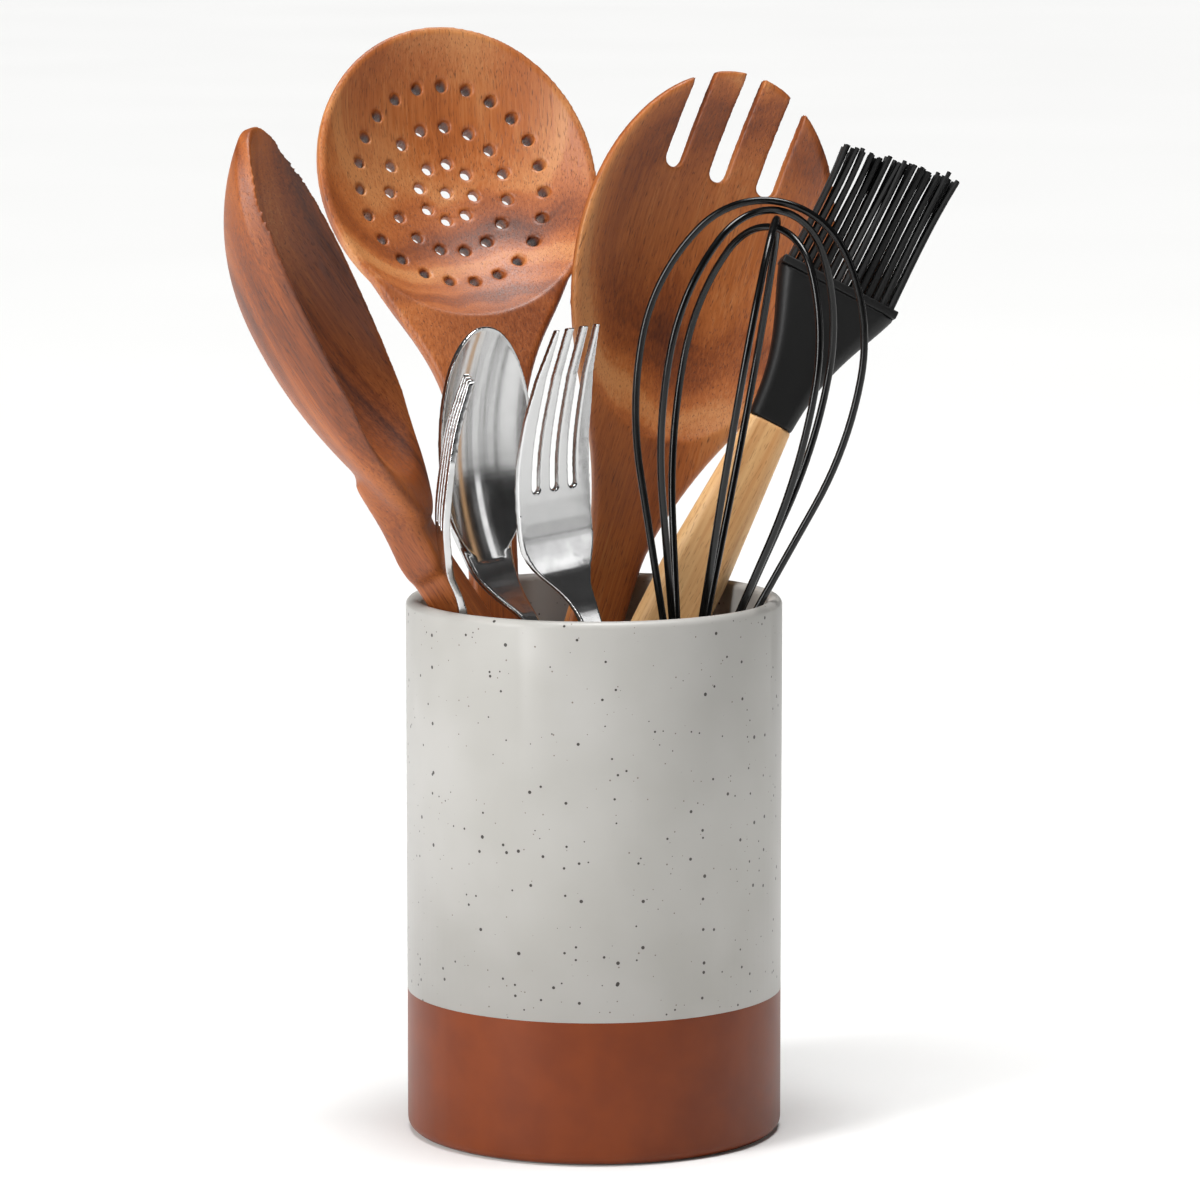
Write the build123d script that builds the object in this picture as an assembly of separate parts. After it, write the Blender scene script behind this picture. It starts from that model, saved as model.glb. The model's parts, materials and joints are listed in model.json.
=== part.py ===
from build123d import *
from math import atan2, cos, degrees, pi, radians, sin, sqrt, tan
import os

# Millimetres, +Z up, the origin in the middle of the face that the crock stands on.
# The crock is turned stoneware, 5 in across, and eight utensils lean in it.
crock_radius = 63.5
crock_height = 182.0
wall = 5.0
floor_thickness = 8.0
foot_rounding = 4.0
floor_rounding = 7.0
foot_ring_width = 7.0
foot_recess = 1.5
dip_height = 48.5
dip_thickness = 0.45
dip_end_angle = 62.0

# Room left between pieces that part from each other, and how far a cut runs past what it cuts
clearance = 0.35
overrun = 5.0
settling_passes = 8

# Each utensil stands by its foot and leans on the lip: the angles are round the crock, 0 at +X.
# A foot share is how far the foot stands from the middle, a lift share how high a foot rests
# against the wall. The face angle turns the utensil's front from -Y towards +X.
skimmer_rim_angle = 131.8
skimmer_foot_angle = 154.5
skimmer_foot_share = 0.528
skimmer_face_angle = 17.5
salad_rim_angle = 85.5
salad_foot_angle = 150.0
salad_lift_share = 0.135
salad_face_angle = 17.0
spoon_rim_angle = 196.5
spoon_foot_angle = 16.0
spoon_lift_share = 0.19
spoon_face_angle = 72.0
steel_rim_angle = 202.5
steel_rim_share = 0.4146
steel_foot_angle = 296.8
steel_foot_share = 0.69
steel_face_angle = 46.0
front_rim_angle = 270.0
front_foot_angle = 281.0
front_foot_share = 0.84
front_face_angle = 42.0
side_rim_angle = 217.5
side_foot_angle = 202.0
side_foot_share = 0.686
side_face_angle = 98.0
brush_rim_angle = 46.5
brush_foot_angle = 185.0
brush_lift_share = 0.13
brush_face_angle = 6.0
whisk_rim_angle = 343.2
whisk_rim_share = 0.672
whisk_foot_angle = 298.0
whisk_foot_share = 0.32

# Skimmer: a round dished head, cranked back from its handle, with four rings of drain holes
skimmer_knee = 231.0
skimmer_rise = 84.0
skimmer_crank = 18.5
skimmer_head_width = 100.0
skimmer_head_length = 112.0
skimmer_dish_depth = 17.5
skimmer_wall = 4.0
skimmer_edge = 4.0
skimmer_back_depth = 26.0
hole_diameter = 4.0
hole_ring_share = [0.0, 0.196, 0.428, 0.669]
holes_in_ring = [1, 8, 15, 23]
hole_start_angle = [0.0, 82.0, 86.0, 88.5]
skimmer_neck_share = [(0.46, 1.70), (0.70, 1.44), (0.92, 1.18), (1.12, 0.92), (1.36, 0.68), (1.62, 0.52)]

# The rim left round a dish, and the handles of the wooden utensils
dish_rim = 2.4
grip_width = 17.0
grip_thickness = 7.2
grip_softening = 2.2
grip_end_radius = 7.5

# Salad fork: a long dished head, widest near the top, with three slots
salad_knee = 205.0
salad_rise = 80.0
salad_crank = 3.0
salad_head_width = 91.5
salad_head_top = 63.5
salad_head_bottom = 71.0
salad_dish_depth = 14.0
salad_wall = 4.5
salad_edge = 4.5
salad_grip_width = 20.0
salad_grip_end_radius = 7.0
slot_count = 3
slot_width = 6.6
slot_depth = 40.7
slot_pitch = 17.6
salad_neck_share = [(0.55, 1.66), (0.74, 1.40), (0.92, 1.11), (1.11, 0.83), (1.31, 0.61), (1.52, 0.46)]

# Where the necks leave the handles, as shares of the way to the knee, and how the knees are rounded.
# A hollow swings a little past its rim, and a handle's long edges are those more upright than a share.
neck_start_share = 0.82
spoon_neck_start_share = 0.95
bend_radius = 90.0
dish_extra_angle = 4.0
upright_share = 0.2

# Wooden spoon: a deep oval bowl, cranked forward
spoon_knee = 198.0
spoon_rise = 94.0
spoon_crank = -8.5
spoon_face_lift = 3.5
spoon_bowl_width = 62.0
spoon_bowl_top = 60.0
spoon_bowl_bottom = 72.0
spoon_back_bottom = 86.0
spoon_bowl_depth = 25.0
spoon_wall = 4.0
spoon_edge = 4.0
spoon_grip_width = 15.0
spoon_grip_thickness = 13.5
spoon_grip_softening = 3.0
spoon_grip_end_radius = 6.0
spoon_neck_share = [(0.82, 1.12), (1.02, 0.86), (1.22, 0.66), (1.40, 0.56)]

# Steel spoon and two forks: flat stems whose necks dip back before the heads come forward.
# Outline shares are up from the knee and across, side shares up from the knee and back.
stem_thickness = 3.0
stem_softening = 0.7
steel_spoon_stem = 6.5
steel_end_radius = 4.5
steel_spoon_knee = 160.0
steel_spoon_rise = 68.5
steel_spoon_dip = 10.2
steel_spoon_crank = -17.3
steel_centre_share = 0.16
steel_side_share = [(0.13, 0.10), (0.215, 0.50), (0.34, 1.02), (0.44, 1.22), (0.56, 1.24)]
steel_bowl_width = 44.0
steel_bowl_length = 80.0
steel_bowl_depth = 8.0
steel_wall = 1.7
steel_bowl_thickness = 2.6
steel_past_rim = 0.5
steel_neck_share = [(0.62, 1.30), (0.87, 1.02), (1.13, 0.79), (1.345, 0.507), (1.49, 0.34)]
fork_stem = 8.0
fork_end_radius = 4.0
fork_head_length = 103.7
fork_head_width = 32.0
fork_tip_width = 18.5
fork_thickness = 2.4
fork_slot_count = 3
fork_slot_width = 3.7
fork_root_pitch = 8.0
fork_tip_pitch = 6.2
fork_outline_share = [
    (0.09, 0.29), (0.156, 0.43), (0.216, 0.72), (0.285, 0.94), (0.375, 0.98), (0.503, 0.98), (0.666, 0.906),
]
fork_tip_slope = (-0.17, 1)
front_fork_knee = 163.0
front_fork_dip = 17.0
front_fork_slot = 55.0
front_fork_side_share = [
    (0.09, 0.21), (0.156, 0.52), (0.216, 0.81), (0.285, 0.95), (0.375, 1.0), (0.503, 0.99),
    (0.666, 0.82), (0.83, 0.49), (1.02, -0.04),
]
side_fork_knee = 169.0
side_fork_length = 80.0
side_fork_dip = 5.8
side_fork_slot = 50.0
side_fork_side_share = [
    (0.08, 0.26), (0.178, 0.74), (0.30, 0.97), (0.40, 1.0), (0.52, 0.83), (0.656, 0.52),
    (0.83, -0.03), (0.956, -0.67), (1.02, -0.98),
]

# Whisk: four wire loops in a collar on a turned handle
wire_diameter = 2.5
loop_count = 4
loop_height = 171.0
loop_half_width = 37.2
loop_step = 2.9
loop_narrowing = 1.2
loop_slope = 19.0
loop_root_radius = 5.2
loop_shoulder_turn = 35.0
loop_turn = -5.0
loop_bend_radius = 12.0
loop_shoulder_share = 0.69
wire_seat = 11.0
whisk_length = 132.0
collar_diameter = 15.5
collar_length = 26.0
collar_wall = 1.2
collar_recess = 3.0
plug_length = 12.0
whisk_grip_diameter = 21.2
whisk_end_diameter = 18.0
whisk_end_angle = 70.0
whisk_belly_share = 0.42

# Basting brush: a beech handle, a silicone head on a flat tang, and rows of silicone strands
brush_collar_reach = 244.0
brush_taper_share = 0.60
brush_full_share = 0.76
brush_grip_width = 24.0
brush_grip_thickness = 12.0
brush_grip_edge = 5.4
brush_grip_end_radius = 8.0
brush_neck_width = 16.0
brush_neck_thickness = 10.5
brush_head_length = 54.0
brush_head_width = 44.0
brush_head_thickness = 14.0
tang_width = 8.0
tang_thickness = 2.5
tang_edge = 0.8
tang_depth = 20.0
brush_head_share = [(0.0, 0.0), (0.22, 0.07), (0.48, 0.27), (0.74, 0.62), (1.0, 1.0)]
brush_head_edge_share = 0.36
strand_width = 1.7
strand_length = 49.0
strand_columns = 14
strand_rows = 5
strand_fan = 0.86
strand_tip_share = 0.8
strand_cut_share = [0.0, 0.03, 0.01, 0.05, 0.02, 0.04, 0.015]
strand_slice = 3.0

mouth_radius = crock_radius - wall
lip_radius = wall / 2
up = Vector(0, 0, 1)


def heading(angle):
    return Vector(cos(radians(angle)), sin(radians(angle)), 0)


def lip_seat(out, axis, across, width, thickness, edge):
    """How far from the middle a handle's axis passes the lip, its side just clear of it."""
    back = axis.cross(across)
    level = out - up * (out.dot(axis) / axis.Z)
    side_width, side_depth = width / 2 - edge, thickness / 2 - edge
    reach = side_width * abs(level.dot(across)) + side_depth * abs(level.dot(back)) + edge * level.length
    tangent = up.cross(out)
    offset = side_width * abs(tangent.dot(across)) + side_depth * abs(tangent.dot(back))
    rounding = lip_radius * (sqrt(1 + (out.dot(axis) / axis.Z) ** 2) - 1)
    return sqrt((mouth_radius - clearance - rounding) ** 2 - offset**2) - reach


def end_reach(direction, axis, across, thickness, end_radius):
    """How far a handle's round end reaches from the middle of its rounding."""
    back = axis.cross(across)
    in_face = sqrt(direction.dot(axis) ** 2 + direction.dot(across) ** 2)
    return end_radius * in_face + thickness / 2 * abs(direction.dot(back))


def stand(rim_angle, foot_angle, face_angle, width, thickness, edge, end_radius, share, on_wall):
    """The utensil's own plane: its origin in the round end, +Z up the handle, -Y its face."""
    rim_out, foot_out, flat = heading(rim_angle), heading(foot_angle), heading(face_angle)
    rim = rim_out * (mouth_radius - thickness) + up * (crock_height - lip_radius)
    foot = foot_out * (mouth_radius - end_radius)
    for _ in range(settling_passes):
        axis = (rim - foot).normalized()
        across = (flat - axis * flat.dot(axis)).normalized()
        seat = lip_seat(rim_out, axis, across, width, thickness, edge)
        rim = rim_out * seat + up * (crock_height - lip_radius)
        if on_wall:
            offset = thickness / 2 * abs(up.cross(foot_out).dot(axis.cross(across)))
            reach = end_reach(foot_out, axis, across, thickness, end_radius)
            foot = foot_out * (sqrt((mouth_radius - clearance) ** 2 - offset**2) - reach)
            foot += up * (crock_height * share)
        else:
            reach = end_reach(up, axis, across, thickness, end_radius)
            foot = foot_out * (mouth_radius * share) + up * (floor_thickness + clearance + reach)
    return Plane(origin=foot, x_dir=across, z_dir=axis)


def section(width, thickness, edge, height):
    return Pos(0, 0, height) * RectangleRounded(width, thickness, edge)


def cranked(knee, rise, crank, thickness):
    """Where a head's face plane stands on its handle."""
    return Pos(0, -thickness / 2, knee) * Rot(-crank, 0, 0) * Pos(0, 0, rise)


def bent_side(thickness, knee, rise, crank):
    """A handle's side: straight up to the knee, then leaning back, with a rounded bend."""
    lean_back = radians(crank)
    front = -thickness / 2
    top = front + rise * sin(lean_back), knee + rise * cos(lean_back)
    profile = Polygon(
        (front, -knee), (front, knee), top,
        (top[0] + thickness * cos(lean_back), top[1] - thickness * sin(lean_back)),
        (front + thickness, knee - thickness * tan(lean_back / 2)), (front + thickness, -knee), align=None,
    )
    knees = [corner for corner in profile.vertices() if abs(corner.Y - knee) < thickness]
    return fillet(knees, bend_radius)


def swept_side(knee, length, dip, shares, tip_thickness):
    """A stem's side: straight up to the knee, then dipping back and coming forward again."""
    front = -stem_thickness / 2
    curve = [(front + dip * back, knee + length * rise) for rise, back in shares]
    slope = curve[-1][0] - curve[-2][0], curve[-1][1] - curve[-2][1]
    front_line = Spline((front, knee - overrun), *curve, tangents=[(0, 1), slope])
    behind = [(y + tip_thickness, z) for y, z in curve]
    back_line = Spline((-front, knee - overrun), *behind, tangents=[(0, 1), slope])
    profile = Polyline(front_line @ 0, (front, -knee), (-front, -knee), back_line @ 0)
    return make_face(profile + front_line + back_line + Line(front_line @ 1, back_line @ 1))


def handle(width, softening, end_radius, knee, start, flare, profile):
    """A flat handle cut from its outline and its side: round foot, taper and widening neck."""
    slope = flare[-1][0] - flare[-2][0], flare[-1][1] - flare[-2][1]
    side = Polyline((end_radius, 0), (width / 2, knee / 2), (width / 2, start))
    side += Spline((width / 2, start), *flare, tangents=[(0, 1), slope])
    outline = side + mirror(side, Plane.YZ) + CenterArc((0, 0), end_radius, 180, 180)
    outline += Line(flare[-1], (-flare[-1][0], flare[-1][1]))
    widest = flare[-1][0]
    blank = Pos(0, -knee, 0) * extrude(Plane.XZ * make_face(outline), amount=2 * knee, dir=(0, 1, 0))
    blank &= Pos(-2 * widest, 0, 0) * extrude(Plane.YZ * profile, amount=4 * widest, dir=(1, 0, 0))
    long_edges = [edge for edge in blank.edges() if abs((edge % 0.5).Z) > upright_share]
    return fillet(long_edges, softening)


def flared(shares, half_width, half_length, knee, rise, crank):
    """Points of a neck's edge, from shares down from the head's middle and across."""
    return [(half_width * spread / 2, knee + (rise - half_length * distance) * cos(radians(crank)))
            for distance, spread in reversed(shares)]


def dish(width, top, bottom, depth, past_rim=dish_extra_angle):
    """A bowl's hollow behind the face plane: an arc across, swung along longer arcs up and down."""
    across_radius = (width**2 / 4 + depth**2) / (2 * depth)
    profile = Pos(0, depth - across_radius) * Circle(across_radius)
    profile -= Pos(0, -across_radius - overrun) * Rectangle(4 * across_radius, 2 * across_radius)
    halves = []
    for length, turn in ((top, 1), (bottom, -1)):
        along_radius = (length**2 + depth**2) / (2 * depth)
        angle = degrees(atan2(length, along_radius - depth)) + past_rim
        halves.append(revolve(profile, Axis((0, depth - along_radius, 0), (turn, 0, 0)), angle))
    return halves[0] + halves[1]


def egg(width, top, bottom):
    """A bowl's outline in the face plane: two half ellipses that meet at its widest place."""
    upper = Ellipse(width / 2, top) & Pos(0, top / 2) * Rectangle(width, top)
    lower = Ellipse(width / 2, bottom) & Pos(0, -bottom / 2) * Rectangle(width, bottom)
    return upper + lower


def bowl_blank(width, top, bottom, depth, edge, back_depth):
    """The outside of a bowl: its outline, an upright edge, and a round back, cut flat where it is deeper."""
    block = extrude(Plane.XZ * egg(width, top, bottom), amount=-depth)
    return block & Pos(0, edge, 0) * dish(width, top, bottom, back_depth)


def dip_corner():
    """The foot rounding's middle, and where the dip ends under it: on the skin and on the glaze."""
    middle = Vector(crock_radius - foot_rounding, foot_rounding)
    outward = Vector(cos(radians(dip_end_angle)), -sin(radians(dip_end_angle)))
    return middle, middle + outward * (foot_rounding - dip_thickness), middle + outward * foot_rounding


def crock_body():
    skin_radius = crock_radius - dip_thickness
    corner, skin_end, glaze_end = dip_corner()
    ring_inside = crock_radius - foot_rounding - foot_ring_width
    inside_corner = Vector(mouth_radius - floor_rounding, floor_thickness + floor_rounding)
    lip = Vector(mouth_radius + lip_radius, crock_height - lip_radius)
    outline = Polyline(
        (0, floor_thickness), (0, foot_recess), (ring_inside - foot_recess, foot_recess),
        (ring_inside, 0), (crock_radius - foot_rounding, 0),
    )
    outline += CenterArc((corner.X, corner.Y), foot_rounding, -90, 90 - dip_end_angle)
    outline += Line((glaze_end.X, glaze_end.Y), (skin_end.X, skin_end.Y))
    outline += CenterArc((corner.X, corner.Y), foot_rounding - dip_thickness, -dip_end_angle, dip_end_angle)
    outline += Polyline(
        (skin_radius, foot_rounding), (skin_radius, dip_height),
        (crock_radius, dip_height), (crock_radius, lip.Y),
    )
    outline += CenterArc((lip.X, lip.Y), lip_radius, 0, 180)
    outline += Line((mouth_radius, lip.Y), (mouth_radius, inside_corner.Y))
    outline += CenterArc((inside_corner.X, inside_corner.Y), floor_rounding, 0, -90)
    outline += Line((inside_corner.X, floor_thickness), (0, floor_thickness))
    return revolve(Plane.XZ * make_face(outline), Axis.Z)


def glaze_dip():
    skin_radius = crock_radius - dip_thickness
    corner, skin_end, glaze_end = dip_corner()
    outline = Line((skin_end.X, skin_end.Y), (glaze_end.X, glaze_end.Y))
    outline += CenterArc((corner.X, corner.Y), foot_rounding, -dip_end_angle, dip_end_angle)
    outline += Polyline(
        (crock_radius, foot_rounding), (crock_radius, dip_height),
        (skin_radius, dip_height), (skin_radius, foot_rounding),
    )
    outline += CenterArc((corner.X, corner.Y), foot_rounding - dip_thickness, 0, -dip_end_angle)
    return revolve(Plane.XZ * make_face(outline), Axis.Z)


def skimmer():
    head = cranked(skimmer_knee, skimmer_rise, skimmer_crank, grip_thickness)
    half_width, half_length = skimmer_head_width / 2, skimmer_head_length / 2
    solid = handle(
        grip_width, grip_softening, grip_end_radius, skimmer_knee, skimmer_knee * neck_start_share,
        flared(skimmer_neck_share, half_width, half_length, skimmer_knee, skimmer_rise, skimmer_crank),
        bent_side(grip_thickness, skimmer_knee, skimmer_rise, skimmer_crank),
    )
    depth = skimmer_dish_depth + skimmer_wall
    solid += head * bowl_blank(
        skimmer_head_width, half_length, half_length, depth, skimmer_edge, skimmer_back_depth)
    hollow_length = half_length - dish_rim
    cutters = [head * dish(skimmer_head_width - 2 * dish_rim, hollow_length, hollow_length, skimmer_dish_depth)]
    drill = extrude(Plane.XZ * Circle(hole_diameter / 2), amount=depth + overrun, both=True)
    for ring, count, start in zip(hole_ring_share, holes_in_ring, hole_start_angle):
        for index in range(count):
            turn = radians(start) + 2 * pi * index / count
            cutters.append(head * Pos(cos(turn) * half_width * ring, 0, sin(turn) * half_length * ring) * drill)
    return solid - cutters


def salad_fork():
    head = cranked(salad_knee, salad_rise, salad_crank, grip_thickness)
    solid = handle(
        salad_grip_width, grip_softening, salad_grip_end_radius, salad_knee, salad_knee * neck_start_share,
        flared(salad_neck_share, salad_head_width / 2, salad_head_bottom, salad_knee, salad_rise, salad_crank),
        bent_side(grip_thickness, salad_knee, salad_rise, salad_crank),
    )
    depth = salad_dish_depth + salad_wall
    solid += head * bowl_blank(
        salad_head_width, salad_head_top, salad_head_bottom, depth, salad_edge, depth - salad_edge)
    inside = salad_head_width - 2 * dish_rim, salad_head_top - dish_rim, salad_head_bottom - dish_rim
    cutters = [head * dish(*inside, salad_dish_depth)]
    slot = Pos(0, salad_head_top + overrun - slot_depth / 2) * SlotOverall(slot_depth + overrun, slot_width, 90)
    cutter = extrude(Plane.XZ * slot, amount=depth + overrun, both=True)
    for index in range(slot_count):
        cutters.append(head * Pos((index - (slot_count - 1) / 2) * slot_pitch, 0, 0) * cutter)
    return solid - cutters


def wood_spoon():
    head = cranked(spoon_knee, spoon_rise, spoon_crank, spoon_grip_thickness + 2 * spoon_face_lift)
    solid = handle(
        spoon_grip_width, spoon_grip_softening, spoon_grip_end_radius, spoon_knee,
        spoon_knee * spoon_neck_start_share,
        flared(spoon_neck_share, spoon_bowl_width / 2, spoon_bowl_bottom, spoon_knee, spoon_rise, spoon_crank),
        bent_side(spoon_grip_thickness, spoon_knee, spoon_rise, spoon_crank),
    )
    depth = spoon_bowl_depth + spoon_wall
    solid += head * bowl_blank(
        spoon_bowl_width, spoon_bowl_top, spoon_back_bottom, depth, spoon_edge, depth - spoon_edge)
    inside = spoon_bowl_width - 2 * dish_rim, spoon_bowl_top - dish_rim, spoon_bowl_bottom - dish_rim
    return solid - head * dish(*inside, spoon_bowl_depth)


def steel_spoon():
    half_length = steel_bowl_length / 2
    centre = -stem_thickness / 2 + steel_spoon_dip * steel_centre_share
    head = Pos(0, centre, steel_spoon_knee + steel_spoon_rise) * Rot(-steel_spoon_crank, 0, 0)
    steel_spoon_side = [*steel_side_share, (1, steel_centre_share)]
    solid = handle(
        steel_spoon_stem, stem_softening, steel_end_radius, steel_spoon_knee, steel_spoon_knee,
        flared(steel_neck_share, steel_bowl_width / 2, half_length, steel_spoon_knee, steel_spoon_rise, 0),
        swept_side(steel_spoon_knee, steel_spoon_rise, steel_spoon_dip, steel_spoon_side, steel_bowl_thickness),
    )
    depth = steel_bowl_depth + steel_wall
    solid += head * bowl_blank(steel_bowl_width, half_length, half_length, depth, steel_wall, depth - steel_wall)
    hollow_length = half_length - steel_wall / 2
    hollow_width = steel_bowl_width - steel_wall
    return solid - head * dish(hollow_width, hollow_length, hollow_length, steel_bowl_depth, steel_past_rim)


def fork(knee, length, dip, slot_depth, side_shares):
    """A table fork: its outline, cut to a thin swept side, with tapering gaps between the tines."""
    scale = length / fork_head_length
    top = knee + length
    half_stem = fork_stem / 2
    half_head = fork_head_width * scale / 2
    half_tip = fork_tip_width * scale / 2
    side = Polyline((fork_end_radius, 0), (half_stem, knee / 2), (half_stem, knee))
    shoulder = [(half_head * spread, knee + length * rise) for rise, spread in fork_outline_share]
    side += Spline((half_stem, knee), *shoulder, (half_tip, top), tangents=[(0, 1), fork_tip_slope])
    outline = side + mirror(side, Plane.YZ) + CenterArc((0, 0), fork_end_radius, 180, 180)
    outline += Line((half_tip, top), (-half_tip, top))
    face = make_face(outline)
    half_slot = fork_slot_width * scale / 2
    root = top - slot_depth + half_slot
    for index in range(fork_slot_count):
        place = (index - (fork_slot_count - 1) / 2) * scale
        low, high = place * fork_root_pitch, place * fork_tip_pitch
        beyond = high + (high - low) * overrun / slot_depth
        face -= Polygon(
            (low - half_slot, root), (low + half_slot, root),
            (beyond + half_slot, top + overrun), (beyond - half_slot, top + overrun), align=None,
        )
        face -= Pos(low, root) * Circle(half_slot)
    profile = swept_side(knee, length, dip, side_shares, fork_thickness)
    blank = Pos(0, -knee, 0) * extrude(Plane.XZ * face, amount=2 * knee, dir=(0, 1, 0))
    strip = extrude(Plane.YZ * profile, amount=2 * fork_head_width, dir=(1, 0, 0))
    return blank & Pos(-fork_head_width, 0, 0) * strip


def loop_half(height, half_width):
    """Half of a loop, from its seat up to the top of the balloon, as tangent lines and arcs."""
    slope, turn = radians(loop_slope), radians(loop_shoulder_turn)
    shoulder = height * loop_shoulder_share
    spread = half_width - loop_root_radius - loop_bend_radius * (1 - cos(slope))
    climb = shoulder - loop_bend_radius * sin(slope)
    flank = (spread * sin(slope) - climb * (1 - cos(slope))) / (1 - cos(slope))
    flank_radius = (climb * sin(slope) - spread * cos(slope)) / (1 - cos(slope))
    crown = height - shoulder
    balance = (1 - cos(turn)) * (1 - sin(turn)) - cos(turn) * sin(turn)
    crown_radius = (half_width * (1 - sin(turn)) - crown * cos(turn)) / balance
    cap_radius = (crown * (1 - cos(turn)) - half_width * sin(turn)) / balance
    pieces = [Line((loop_root_radius, -wire_seat), (loop_root_radius, 0))]
    pieces.append(JernArc(pieces[-1] @ 1, pieces[-1] % 1, loop_bend_radius, -loop_slope))
    pieces.append(Line(pieces[-1] @ 1, pieces[-1] @ 1 + (pieces[-1] % 1) * flank))
    pieces.append(JernArc(pieces[-1] @ 1, pieces[-1] % 1, flank_radius, loop_slope))
    pieces.append(JernArc(pieces[-1] @ 1, pieces[-1] % 1, crown_radius, loop_shoulder_turn))
    pieces.append(JernArc(pieces[-1] @ 1, pieces[-1] % 1, cap_radius, 90 - loop_shoulder_turn))
    return [piece.edge() for piece in pieces]


def whisk_loop(index):
    right = loop_half(loop_height - index * loop_step, loop_half_width - index * loop_narrowing)
    path = Wire(right + [edge.mirror(Plane.YZ) for edge in right])
    start = Plane(origin=(loop_root_radius, -wire_seat, 0), z_dir=(0, 1, 0))
    wire = sweep(start * Circle(wire_diameter / 2), path=path)
    turn = loop_turn + 180 * index / loop_count
    return Pos(0, 0, whisk_length) * Rot(0, 0, turn) * Rot(90, 0, 0) * wire


def whisk_handle():
    collar, grip, end = collar_diameter / 2, whisk_grip_diameter / 2, whisk_end_diameter / 2
    spigot = collar - collar_wall
    collar_foot = whisk_length - collar_length
    spigot_top = whisk_length - collar_recess - plug_length
    belly = grip, collar_foot * whisk_belly_share
    outline = CenterArc((0, 0), end, -whisk_end_angle, whisk_end_angle)
    flat = outline @ 0
    outline += Spline((end, 0), belly, (collar, collar_foot), tangents=[(0, 1), (0, 1)])
    outline += Polyline(
        (collar, collar_foot), (spigot, collar_foot), (spigot, spigot_top), (0, spigot_top), (0, flat.Y), flat,
    )
    return revolve(Plane.XZ * make_face(outline), Axis.Z)


def whisk_collar():
    tube = Circle(collar_diameter / 2) - Circle(collar_diameter / 2 - collar_wall)
    return Pos(0, 0, whisk_length - collar_length) * extrude(tube, amount=collar_length)


def whisk_plug(loops):
    plug = extrude(Circle(collar_diameter / 2 - collar_wall), amount=plug_length)
    return Pos(0, 0, whisk_length - collar_recess - plug_length) * plug - loops


def brush_tang():
    foot = section(tang_width, tang_thickness, tang_edge, brush_collar_reach - tang_depth)
    return extrude(foot, amount=2 * tang_depth)


def brush_handle(tang):
    thickness, edge, end = brush_grip_thickness, brush_grip_edge, brush_grip_end_radius
    widest, full = brush_collar_reach * brush_taper_share, brush_collar_reach * brush_full_share
    solid = extrude(section(2 * end, thickness, edge, 0), amount=-end)
    solid &= extrude(Plane.XZ * Circle(end), amount=thickness, both=True)
    sections = [section(2 * end, thickness, edge, 0), section(brush_grip_width, thickness, edge, widest)]
    solid += loft(sections, ruled=True)
    solid += extrude(section(brush_grip_width, thickness, edge, widest), amount=full - widest)
    collar_edge = edge * brush_neck_thickness / thickness
    collar = section(brush_neck_width, brush_neck_thickness, collar_edge, brush_collar_reach)
    solid += loft([section(brush_grip_width, thickness, edge, full), collar], ruled=True)
    return solid - tang


def brush_head(tang):
    length = brush_head_length - strand_slice
    sections = []
    for rise, spread in brush_head_share:
        width = brush_neck_width + (brush_head_width - brush_neck_width) * spread
        depth = brush_neck_thickness + (brush_head_thickness - brush_neck_thickness) * spread
        sections.append(section(width, depth, depth * brush_head_edge_share, brush_collar_reach + length * rise))
    return loft(sections) - tang


def brush_bristles():
    low = brush_collar_reach + brush_head_length - strand_slice
    edge = brush_head_thickness * brush_head_edge_share
    strands = []
    for column in range(strand_columns):
        for row in range(strand_rows):
            across = (column / (strand_columns - 1) - 1 / 2) * (brush_head_width - 2 * strand_width)
            along = (row / (strand_rows - 1) - 1 / 2) * (brush_head_thickness - 2 * strand_width)
            base = Pos(across, along, low + strand_slice / 2) * Rectangle(strand_width, strand_width)
            cut = strand_cut_share[(column * strand_rows + row) % len(strand_cut_share)]
            high = low + strand_slice + strand_length * (1 - cut)
            tip = Rectangle(strand_width * strand_tip_share, strand_width * strand_tip_share)
            strands.append(loft([base, Pos(across * strand_fan, along * strand_fan, high) * tip], ruled=True))
    backing = extrude(section(brush_head_width, brush_head_thickness, edge, low), amount=strand_slice)
    return backing + strands


def lean(rim_angle, rim_share, foot_angle, foot_share, face_angle, foot_height):
    """The plane of a utensil that leans on its neighbours, through a point at the rim and its foot."""
    rim = heading(rim_angle) * (mouth_radius * rim_share) + up * (crock_height - lip_radius)
    foot = heading(foot_angle) * (mouth_radius * foot_share) + up * (floor_thickness + clearance + foot_height)
    return Plane(origin=foot, x_dir=heading(face_angle), z_dir=(rim - foot).normalized())


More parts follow.
